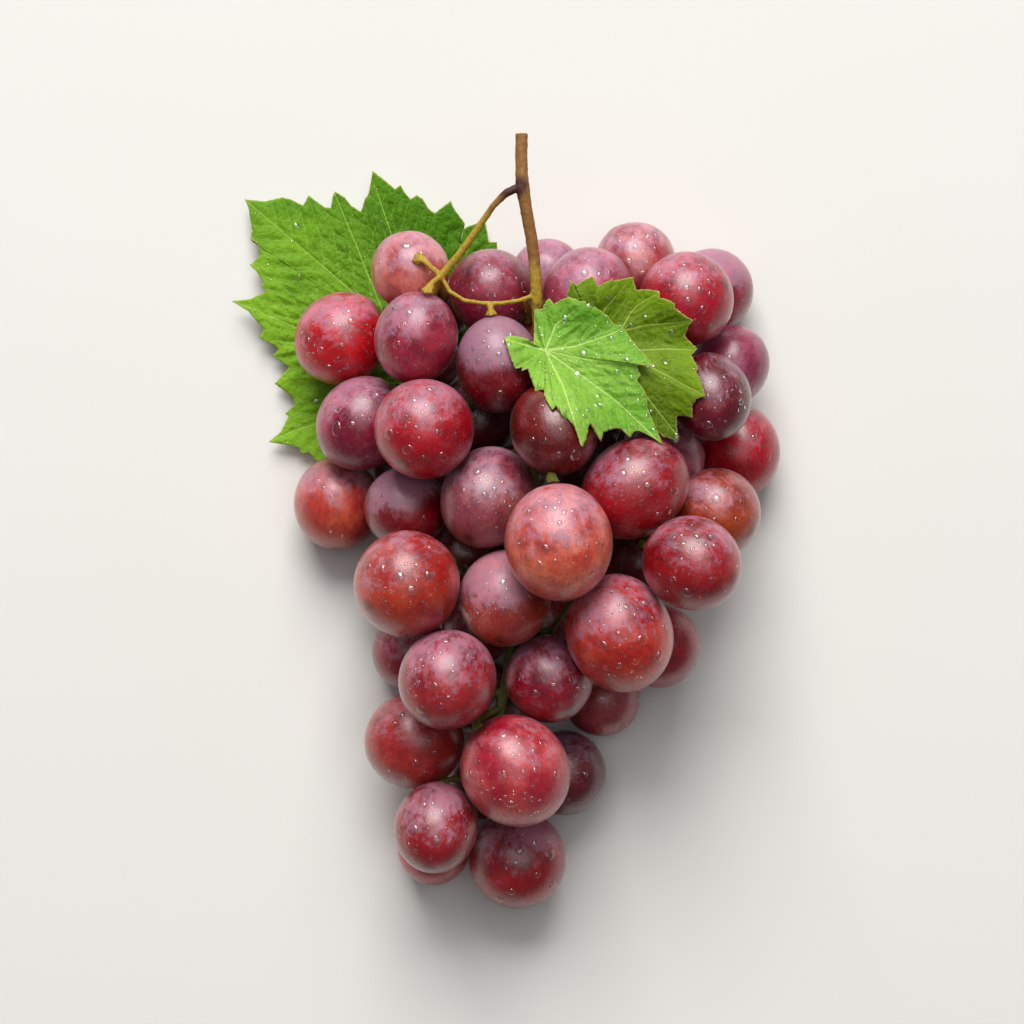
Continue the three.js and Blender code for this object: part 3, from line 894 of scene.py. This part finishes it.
@dataclass
class Leaf:
    """One vine leaf, draped as its solid is, with toothed edge, sunken veins and puckered blade.

    Outline and veins are in plan, in millimetres from the leaf's own petiole.
    """

    node: str
    petiole: Point
    outline: Sequence[Point]
    lobes: Sequence[Sequence[Point]]
    blade: LeafBlade
    pucker: float
    pale: Point
    spokes: int = 340
    rings: int = 58
    thickness: float = 0.32 * MM
    side_spacing: float = 5.2
    side_angle: float = 48.0
    teeth: float = 0.25
    tooth_spacing: float = 1.7
    main_width: float = 0.24
    side_width: float = 0.13
    ridge: float = 1.3
    calm: float = 2.5
    evening: int = 14
    near_height: float = 30 * MM
    folds: Sequence[tuple[Point, Point, float]] = ()

    def build(self) -> bpy.types.Object:
        """Builds the leaf in place of its solid.

        Returns:
            The finished leaf.
        """
        select_only()
        bpy.ops.mesh.primitive_circle_add(vertices=self.spokes, radius=0.01)
        leaf = bpy.context.object
        leaf.name = f"vine_{self.node}"
        edge = self._edge()
        centre = Vector((self.petiole[0] * MM, self.petiole[1] * MM, 0))
        order = coordinates(leaf.data)
        turn = np.argsort(np.arctan2(order[:, 1], order[:, 0]) % (2 * math.pi))
        placed = np.zeros_like(order)
        placed[turn, :2] = edge * MM
        placed += np.array(centre)
        set_coordinates(leaf.data, placed)
        self._fill(leaf, centre)
        self._shape(leaf)
        select_only(leaf)
        solid = leaf.modifiers.new("thickness", "SOLIDIFY")
        solid.thickness, solid.offset = self.thickness, -1.0
        bpy.ops.object.modifier_apply(modifier="thickness")
        bpy.ops.object.shade_smooth()
        self._turn_over(leaf)
        leaf.data.materials.append(self.blade.material())
        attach(leaf, BODY)
        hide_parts(self.node)
        return leaf

    def _edge(self) -> np.ndarray:
        """Spaces points evenly along the toothed edge.

        Returns:
            The points in plan, in order round the petiole.
        """
        points = np.array(self.outline, float)
        closed = np.vstack([points, points[:1]])
        length = np.concatenate([[0], np.cumsum(np.linalg.norm(np.diff(closed, axis=0), axis=1))])
        wanted = np.linspace(0, length[-1], self.spokes, endpoint=False)
        nearest = np.round(length[:-1] / length[-1] * self.spokes).astype(int) % self.spokes
        wanted[nearest] = length[:-1]
        edge = np.stack([np.interp(wanted, length, closed[:, k]) for k in (0, 1)], 1)
        teeth = self.teeth * ((wanted / self.tooth_spacing) % 1.0 - 0.5)
        return edge * (1 + teeth / np.linalg.norm(edge, axis=1))[:, None]

    def _fill(self, leaf: bpy.types.Object, centre: Vector) -> None:
        """Fills the edge loop with rings that shrink to the petiole.

        Args:
            leaf: The leaf, which is only its edge so far.
            centre: The petiole's place.
        """
        select_only(leaf)
        bpy.ops.object.mode_set(mode="EDIT")
        bpy.ops.mesh.select_all(action="SELECT")
        for ring in range(self.rings, 1, -1):
            bpy.ops.mesh.extrude_edges_move()
            share = (ring - 1) / ring
            bpy.ops.transform.resize(value=(share, share, 1), center_override=centre)
        bpy.ops.mesh.edge_face_add()
        bpy.ops.mesh.poke()
        bpy.ops.mesh.select_all(action="SELECT")
        bpy.ops.mesh.normals_make_consistent(inside=False)
        bpy.ops.object.mode_set(mode="OBJECT")
        if leaf.data.polygons[0].normal.z < 0:
            leaf.data.flip_normals()

    def _veins(self) -> tuple[list[np.ndarray], list[np.ndarray]]:
        """Lays out the veins in plan.

        Returns:
            The points of every lobe's own vein, and those of the side veins that branch from them.
        """
        veins = [np.array([(0.0, 0.0), *lobe]) for lobe in self.lobes]
        sides = []
        for main in veins:
            steps = np.linalg.norm(np.diff(main, axis=0), axis=1)
            length = np.concatenate([[0], np.cumsum(steps)])
            reach = length[-1]
            for number, start in enumerate(np.arange(self.side_spacing, reach * 0.94, self.side_spacing)):
                at = np.array([np.interp(start, length, main[:, k]) for k in (0, 1)])
                ahead = np.array([np.interp(start + 0.5, length, main[:, k]) for k in (0, 1)]) - at
                heading = math.atan2(ahead[1], ahead[0])
                for side in (-1, 1):
                    bend = math.radians(self.side_angle) * side
                    run = (reach - start) * 0.62 + 1.5
                    path = [at]
                    for k in range(1, 5):
                        angle = heading + bend * (1 - 0.09 * k)
                        path.append(path[-1] + run / 4 * np.array([math.cos(angle), math.sin(angle)]))
                    sides.append(np.array(path))
        return veins, sides

    @staticmethod
    def _across(
        plan: np.ndarray, veins: Iterable[np.ndarray], width: float
    ) -> tuple[np.ndarray, np.ndarray]:
        """Measures each point against the nearest of some veins.

        Args:
            plan: The points.
            veins: The veins' own points.
            width: A vein's half width at its start, in millimetres; it tapers to a third at its end.

        Returns:
            The distance in millimetres, and the distance in vein widths, negative on a vein's right.
        """
        gap, across = np.full(len(plan), 9.0), np.full(len(plan), 9.0)
        for path in veins:
            steps = len(path) - 1
            for k in range(steps):
                start, along = path[k], path[k + 1] - path[k]
                share = np.clip(((plan - start) @ along) / (along @ along), 0, 1)
                offset = plan - start - share[:, None] * along
                away = np.linalg.norm(offset, axis=1)
                left = np.where(offset @ np.array([-along[1], along[0]]) < 0, -1.0, 1.0)
                nearer = away < gap
                gap = np.where(nearer, away, gap)
                local = width * (1 - 0.66 * (k + share) / steps)
                across = np.where(nearer, left * away / local, across)
        return gap, across

    def _shape(self, leaf: bpy.types.Object) -> None:
        """Drapes the leaf, sinks its veins, puckers it between them and stores what its finish reads.

        Args:
            leaf: The flat leaf.
        """
        places = coordinates(leaf.data)
        plan = places[:, :2] / MM - np.array(self.petiole)
        mains, sides = self._veins()
        main_gap, main_across = self._across(plan, mains, self.main_width)
        side_gap, side_across = self._across(plan, sides, self.side_width)
        gap = np.minimum(main_gap, side_gap + 0.15)
        outline = np.array([*self.outline, self.outline[0]], float)
        edge = np.full(len(plan), 99.0)
        for start, end in zip(outline[:-1], outline[1:]):
            along = end - start
            share = np.clip(((plan - start) @ along) / (along @ along), 0, 1)
            edge = np.minimum(edge, np.linalg.norm(plan - start - share[:, None] * along, axis=1))
        hills = np.array([noise.noise(Vector((p[0], p[1], 3.0)) * 0.32) for p in plan])
        bumps = np.array([noise.noise(Vector((p[0], p[1], 9.0)) * 0.9) for p in plan])
        swell = (1 - np.exp(-((gap / self.ridge) ** 2))) * (1 + 0.9 * hills) + 0.28 * bumps
        calm = rise(edge, 0, self.calm)
        heights = self._draped(leaf, places) + self._folded(plan)
        places[:, 2] = heights + self.pucker * swell * (0.25 + 0.75 * calm)
        set_coordinates(leaf.data, places)
        toward = np.array([math.cos(math.radians(self.pale[0])), math.sin(math.radians(self.pale[0]))])
        span = np.abs(plan).max()
        store(leaf.data, "vein", main_gap)
        store(leaf.data, "vein_across", main_across)
        store(leaf.data, "side", side_gap)
        store(leaf.data, "side_across", side_across)
        store(leaf.data, "edge", edge)
        store(leaf.data, "pale", np.clip(0.5 + self.pale[1] * (plan @ toward) / span, 0, 1))

    def _folded(self, plan: np.ndarray) -> np.ndarray:
        """Measures how far the folds lift the blade: gently on a fold's left, steeply on its right.

        Args:
            plan: The blade's points in plan.

        Returns:
            The lift of each point, in metres.
        """
        lift = np.zeros(len(plan))
        for start, end, height in self.folds:
            along = np.subtract(end, start)
            reach = np.linalg.norm(along)
            share = (plan - start) @ along / reach**2
            side = (plan - start) @ np.array([-along[1], along[0]]) / reach
            slope = np.where(side > 0, np.exp(-np.abs(side) / 4.5), np.exp(-np.abs(side) / 0.5))
            lift += height * MM * slope * rise(share, 0.0, 0.6) * (1 - rise(share, 1.0, 1.12))
        return lift

    def _draped(self, leaf: bpy.types.Object, places: np.ndarray) -> np.ndarray:
        """Finds the solid's top under each vertex, and evens it out along the mesh's edges.

        Args:
            leaf: The leaf.
            places: Its vertices.

        Returns:
            The height of each vertex, in metres.
        """
        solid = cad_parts[self.node]
        rows = [v.co.copy() for v in solid.data.vertices]
        tree = BVHTree.FromPolygons(rows, [tuple(p.vertices) for p in solid.data.polygons])
        heights = np.full(len(places), self.near_height)
        for index, (x, y, _) in enumerate(places):
            hit = tree.ray_cast(Vector((x, y, 1.0)), Vector((0, 0, -1)))[0]
            if hit is None:
                hit = tree.find_nearest(Vector((x, y, heights[index - 1])))[0]
            heights[index] = hit.z
        ends = np.empty(len(leaf.data.edges) * 2, np.int64)
        leaf.data.edges.foreach_get("vertices", ends)
        a, b = ends.reshape(-1, 2).T
        degree = np.bincount(np.concatenate([a, b]), minlength=len(places))
        for _ in range(self.evening):
            total = np.bincount(a, heights[b], len(places)) + np.bincount(b, heights[a], len(places))
            heights = 0.4 * heights + 0.6 * total / degree
        return heights

    def _turn_over(self, leaf: bpy.types.Object) -> None:
        """Marks the underside, whose faces look down."""
        store(leaf.data, "back", (directions(leaf.data)[:, 2] < -0.05).astype(float))


# ---- Water drops ----


@dataclass(frozen=True)
class Spot:
    """Where a drop sits: its place, its outward direction and its radius."""

    place: Vector
    normal: Vector
    radius: float


@dataclass
class Drops:
    """Small drops of water on the upper berries and the leaves."""

    segments: int = 10
    rings: int = 8
    smallest: float = 0.3 * MM
    largest: float = 1.5 * MM
    rarity: float = 2.8
    flatness: float = 0.42
    foot: float = 0.12
    sunk: float = 0.08
    apart: float = 1.5
    plenty: float = 1.5
    tries: int = 3
    upper_side: tuple[Point, Point] = ((-0.85, 0.85), (-0.75, 0.9))
    rim: float = 0.72
    flat_leaf: float = 0.55
    on_leaf: dict[str, int] = field(
        default_factory=lambda: {"leaf_front": 280, "leaf_right": 40, "leaf_back": 40}
    )

    def build(self, fits: dict[str, Fit], leaves: Iterable[bpy.types.Object]) -> list[bpy.types.Object]:
        """Builds all drops, as one piece on the berries and one on the leaves.

        Args:
            fits: Each berry's ellipsoid by its node's name.
            leaves: The finished leaves.

        Returns:
            The two pieces.
        """
        chance = random.Random(SEED)
        material = Water().material()
        on_berries, on_leaves = [], []
        for name, fit in sorted(fits.items()):
            looks = RIPENESS.get(name.removeprefix(BERRY))
            drops = looks.drops if looks else 0
            spots = [self._on_berry(fit, chance) for _ in range(self.tries * drops)]
            on_berries += self._spread(spots)[: round(self.plenty * drops)]
        for leaf in leaves:
            on_leaves += self._spread(self._on_leaf(leaf, chance))
        return [
            self._piece("drops_on_berries", on_berries, material, chance),
            self._piece("drops_on_leaves", on_leaves, material, chance),
        ]

    def _spread(self, spots: Iterable[Spot]) -> list[Spot]:
        """Leaves out spots that crowd the ones before them.

        Args:
            spots: The spots in order.

        Returns:
            Those that keep clear of each other.
        """
        kept: list[Spot] = []
        for spot in spots:
            gaps = ((spot.place - k.place).length - self.apart * (spot.radius + k.radius) for k in kept)
            if all(gap > 0 for gap in gaps):
                kept.append(spot)
        return kept

    def _size(self, chance: random.Random) -> float:
        """Returns a drop's radius: most are small and a few are large."""
        return self.smallest + (self.largest - self.smallest) * chance.random() ** self.rarity

    def _on_berry(self, fit: Fit, chance: random.Random) -> Spot:
        """Picks a spot on the upper side of a berry.

        Args:
            fit: The berry's ellipsoid.
            chance: Where the choice comes from.

        Returns:
            The spot.
        """
        while True:
            x, y = (chance.uniform(*limits) for limits in self.upper_side)
            if x * x + y * y < self.rim:
                break
        way = Vector((x, y, math.sqrt(1 - x * x - y * y)))
        along = way.dot(fit.stem_end)
        across = way - fit.stem_end * along
        reach = 1 / math.sqrt((along / fit.half_length) ** 2 + across.length_squared / fit.half_width**2)
        normal = (fit.stem_end * (along / fit.half_length**2) + across / fit.half_width**2).normalized()
        return Spot(fit.centre + way * reach, normal, self._size(chance))

    def _on_leaf(self, leaf: bpy.types.Object, chance: random.Random) -> list[Spot]:
        """Picks spots on the upper side of a leaf.

        Args:
            leaf: The finished leaf.
            chance: Where the choice comes from.

        Returns:
            The spots.
        """
        faces = [p for p in leaf.data.polygons if p.normal.z > self.flat_leaf]
        faces.sort(key=lambda face: tuple(face.center))
        wanted = self.on_leaf[leaf.name.removeprefix("vine_")]
        chosen = chance.choices(faces, [p.area for p in faces], k=wanted)
        return [Spot(p.center.copy(), p.normal.copy(), self._size(chance)) for p in chosen]

    def _piece(
        self, name: str, spots: Sequence[Spot], material: bpy.types.Material, chance: random.Random
    ) -> bpy.types.Object:
        """Copies the drop to every spot and joins the copies into one piece.

        Args:
            name: The piece's name.
            spots: Where the drops sit.
            material: The water.
            chance: Where the drops' own shapes come from.

        Returns:
            The piece.
        """
        drop = self._dome()
        select_only()
        for spot in spots:
            turn = Vector((0, 0, 1)).rotation_difference(spot.normal).to_matrix()
            spin = Matrix.Rotation(chance.uniform(0, math.tau), 3, "Z")
            length, width = chance.uniform(0.85, 1.35), chance.uniform(0.85, 1.1)
            height = self.flatness * chance.uniform(0.8, 1.1)
            size = Matrix.Diagonal([spot.radius * s for s in (length, width, height)])
            place = Matrix.Translation(spot.place - spot.normal * spot.radius * self.sunk)
            copy = bpy.data.objects.new(name, drop.data.copy())
            copy.data.transform(place @ (turn @ spin @ size).to_4x4())
            bpy.context.collection.objects.link(copy)
            copy.select_set(True)
            bpy.context.view_layer.objects.active = copy
        bpy.ops.object.join()
        bpy.data.objects.remove(drop)
        piece = bpy.context.object
        piece.name = name
        piece.data.materials.append(material)
        bpy.ops.object.shade_smooth()
        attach(piece, BODY)
        return piece

    def _dome(self) -> bpy.types.Object:
        """Models one drop of radius 1.

        Returns:
            The upper part of a ball, closed underneath.
        """
        select_only()
        bpy.ops.mesh.primitive_uv_sphere_add(segments=self.segments, ring_count=self.rings, radius=1.0)
        bpy.ops.object.mode_set(mode="EDIT")
        bpy.ops.mesh.select_all(action="SELECT")
        bpy.ops.mesh.bisect(
            plane_co=(0, 0, -self.foot), plane_no=(0, 0, 1), clear_inner=True, use_fill=True
        )
        bpy.ops.object.mode_set(mode="OBJECT")
        return bpy.context.object


# ---- Studio ----


@dataclass(frozen=True)
class Softbox:
    """A square soft light that faces the bunch, with its place and size in metres and power in watts."""

    name: str
    place: tuple[float, float, float]
    size: float
    power: float
    colour: Colour

    def build(self) -> None:
        """Adds the light."""
        lamp = bpy.data.lights.new(self.name, "AREA")
        lamp.shape, lamp.size, lamp.energy, lamp.color = "SQUARE", self.size, self.power, self.colour
        holder = bpy.data.objects.new(self.name, lamp)
        holder.location = self.place
        holder.rotation_euler = (-Vector(self.place)).to_track_quat("-Z", "Y").to_euler()
        bpy.context.collection.objects.link(holder)


@dataclass
class Studio:
    """The pale table, the soft light and the camera that looks straight down on the bunch."""

    eye: tuple[float, float, float] = (1.83 * MM, 3.87 * MM, 680 * MM)
    lens: float = 95.2
    film: float = 36.0
    table: Colour = rgb("e6e4df")
    table_size: float = 6.0
    room: Colour = (0.95, 0.97, 1.0)
    room_strength: float = 0.12
    lights: Sequence[Softbox] = (
        Softbox("window", (-0.15, 1.9, 1.8), 1.6, 84.0, (1.0, 0.985, 0.96)),
        Softbox("sky", (0.2, 0.5, 2.4), 2.0, 16.0, (0.96, 0.98, 1.0)),
    )

    def build(self) -> None:
        """Adds the table, the lights and the camera."""
        self._table()
        for light in self.lights:
            light.build()
        world = bpy.data.worlds.new("room")
        world.use_nodes = True
        air = world.node_tree.nodes["Background"]
        air.inputs["Color"].default_value = (*self.room, 1.0)
        air.inputs["Strength"].default_value = self.room_strength
        bpy.context.scene.world = world
        bpy.context.scene.view_settings.view_transform = "Standard"
        camera = bpy.data.cameras.new("camera")
        camera.lens, camera.sensor_width = self.lens, self.film
        holder = bpy.data.objects.new("camera", camera)
        holder.location = self.eye
        bpy.context.collection.objects.link(holder)
        bpy.context.scene.camera = holder

    def _table(self) -> None:
        """Adds the pale table that the bunch lies on."""
        select_only()
        bpy.ops.mesh.primitive_plane_add(size=self.table_size)
        table = bpy.context.object
        table.name = "table"
        s = Shader("table_top")
        cloud = s.noise(s.object_place(), 9.0, 2.0, 0.5)
        colour = s.mix(cloud * 0.1, self.table, rgb("ffffff"))
        table.data.materials.append(s.finish(Base_Color=colour, Roughness=0.7 + 0.1 * cloud))


# ---- The three leaves ----


LEAF_BACK = Leaf(
    node="leaf_back",
    petiole=(-17.4, 41.4),
    outline=[
        (15.5, 14), (15.5, 29), (15.5, 30), (13.5, 30), (12.5, 35), (8.5, 34), (7, 33), (7.5, 34.5),
        (4.5, 38.5), (4, 40), (0, 37), (-1.5, 38), (-3, 40.5), (-4.5, 41.5), (-6, 40.5), (-7.5, 42),
        (-8.5, 44), (-10, 43), (-13, 45.5), (-15.5, 47.5), (-16.5, 42), (-17.5, 40.5), (-18.5, 37.5),
        (-21, 39), (-22.5, 41), (-25, 42.5), (-25.5, 41.5), (-26, 38.5), (-27.5, 38.5), (-29.5, 40),
        (-31.5, 41.5), (-33, 39), (-36, 40.5), (-38, 41), (-42.5, 40), (-47.5, 40.5), (-46.5, 38.5),
        (-45.5, 32.5), (-46, 30.5), (-44, 29.5), (-43.5, 26.5), (-46, 24), (-44.5, 22.5), (-42.5, 19.5),
        (-43.5, 19), (-42, 17.5), (-46, 15.5), (-50.5, 15), (-46.5, 12.5), (-42.5, 8), (-44, 6),
        (-40, 4), (-39, 3), (-40.5, 1.5), (-36.5, -1.5), (-40, -5.5), (-36, -8.5), (-35, -10.5),
        (-37.5, -13), (-36.5, -13.5), (-38.5, -17.5), (-41.5, -20), (-36, -21), (-34, -21.5),
        (-33.5, -23), (-31.5, -22.5), (-29.5, -25), (-26.5, -24), (-18, -23), (-10, -17), (-4, -9),
        (8, 4),
    ],
    lobes=[
        [(-10, 8.5), (-21.7, 18.5), (-47, 40)],
        [(-12, 10.2), (-17.2, 22.7), (-19.7, 29.2), (-22.7, 36.2), (-25, 42)],
        [(-6, 17), (-11.2, 32.7), (-15, 44)],
        [(-20, 3), (-36, 9), (-49, 14.6)],
        [(-15, -9), (-29.2, -15.2), (-36.4, -17.7), (-41, -19.8)],
        [(5, 16), (9, 32)],
    ],
    blade=LeafBlade("vine_leaf_back", rgb("3e7404"), rgb("7cac20"), vein=rgb("a4cc54")),
    pucker=0.75 * MM,
    pale=(225, 0.5),
)
LEAF_FRONT = Leaf(
    node="leaf_front",
    petiole=(9.6, 41.9),
    outline=[
        (-2.5, 1.5), (-5, 3), (-8, 3.5), (-9.5, 3), (-9, 1), (-8.5, -0.5), (-8, -2), (-7, -4.5),
        (-5.5, -4), (-5.5, -5), (-4, -4.5), (-3.5, -6.5), (-2.5, -9), (-2.5, -10), (-1, -9.5), (0, -10),
        (0, -12), (1.5, -14.5), (2.5, -13.5), (3.5, -15.5), (4, -17), (5, -16.5), (6.5, -18),
        (7.5, -20.5), (8.5, -23), (9.5, -21), (10, -18), (11, -17.5), (12, -19), (13, -21.5),
        (13.5, -19.5), (16, -18.5), (18, -18.5), (19, -19.5), (20, -20.5), (21, -19), (22, -19),
        (24, -20), (27.5, -22), (26.5, -19.5), (25.5, -17), (24, -13.5), (24, -11), (23, -9),
        (21.5, -7), (22.5, -6), (21.5, -4), (22, -3.5), (26, -4), (24.5, -2.5), (23, -0.5), (21.5, 1),
        (20, 3), (19, 4.5), (18, 6), (16.5, 6), (15.5, 7), (15, 8), (13.5, 9), (12, 10), (10, 10.5),
        (9.5, 11.5), (8, 11.5), (7, 12), (5.5, 12.5), (4, 12), (3, 11.5), (2, 11), (1, 12.5), (0, 11.5),
        (-0.5, 10), (-2.5, 10), (-2.5, 8), (-2.5, 7),
    ],
    lobes=[
        [(11.5, -8), (17.3, -12.4), (26.5, -21.4)], [(4.1, -8.7), (8.3, -22.6)], [(-9.3, 2.5)],
        [(2.7, 6.3), (7.1, 9.3)], [(7, 1), (14, 3.2), (18, 5)], [(11, -2.4), (25, -4)],
    ],
    folds=[((8, -1.2), (25.6, -4), 1.5)],
    blade=LeafBlade("vine_leaf_front", rgb("5c981c"), rgb("a0cc54"), vein=rgb("c4e080"), veiny=0.7),
    pucker=0.62 * MM,
    pale=(200, 0.3),
    spokes=300,
    rings=52,
    side_spacing=4.0,
)
LEAF_RIGHT = Leaf(
    node="leaf_right",
    petiole=(22.1, 44.9),
    outline=[
        (3.5, -9.5), (9.5, -17.5), (15.5, -23.5), (16.5, -23.5), (19, -24.5), (18.5, -20.5),
        (18.5, -18.5), (20.5, -18.5), (22, -19), (22, -16), (23, -14.5), (25, -14), (24, -10), (23, -8),
        (23.5, -7), (22, -4), (23.5, -2.5), (22, -1), (20.5, 0.5), (21, 1.5), (21.5, 3), (22.5, 4),
        (20, 5.5), (18, 7), (18, 8), (16.5, 9), (14.5, 9.5), (14.5, 11), (12, 11.5), (9, 11.5),
        (8.5, 13.5), (8.5, 14.5), (6, 14), (3.5, 13.5), (3.5, 14), (1.5, 13), (0, 12), (-1, 14),
        (-1.5, 14.5), (-3.5, 13.5), (-5.5, 12), (-5.5, 13), (-6.5, 13), (-7, 11.5), (-7.5, 10),
        (-5.5, 4.5),
    ],
    lobes=[
        [(1.3, 6.4), (6.6, 12.6)], [(5.9, 2.7), (7.7, 6), (9.7, 8.1), (14.1, 10.5)],
        [(5.9, 1.8), (11.7, 3.2), (17.9, 3.5), (21.6, 4)], [(10, -2.8), (16.5, -2.5), (22, -2.8)],
        [(11.4, -6.3), (16.5, -9), (24.4, -13.6)], [(10, -12), (19, -23.5)],
    ],
    blade=LeafBlade(
        "vine_leaf_right", rgb("486000"), rgb("76960a"), vein=rgb("a8c05c"), rim=rgb("c0a468"), veiny=0.4
    ),
    pucker=0.36 * MM,
    pale=(60, 0.2),
    spokes=260,
    rings=48,
    side_spacing=4.4,
)


def main() -> None:
    """Builds the bunch and its studio."""
    logging.basicConfig(level=logging.INFO, format="%(name)s: %(message)s")
    Studio().build()
    berries = Berries()
    pieces = berries.build()
    pieces.append(Stem().build())
    leaves = [leaf.build() for leaf in (LEAF_BACK, LEAF_RIGHT, LEAF_FRONT)]
    pieces += leaves
    pieces += Drops().build(berries.fits, leaves)
    for piece in pieces:
        log.info("%s: %d faces", piece.name, len(piece.data.polygons))
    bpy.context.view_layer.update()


if __name__ == "__main__":
    main()
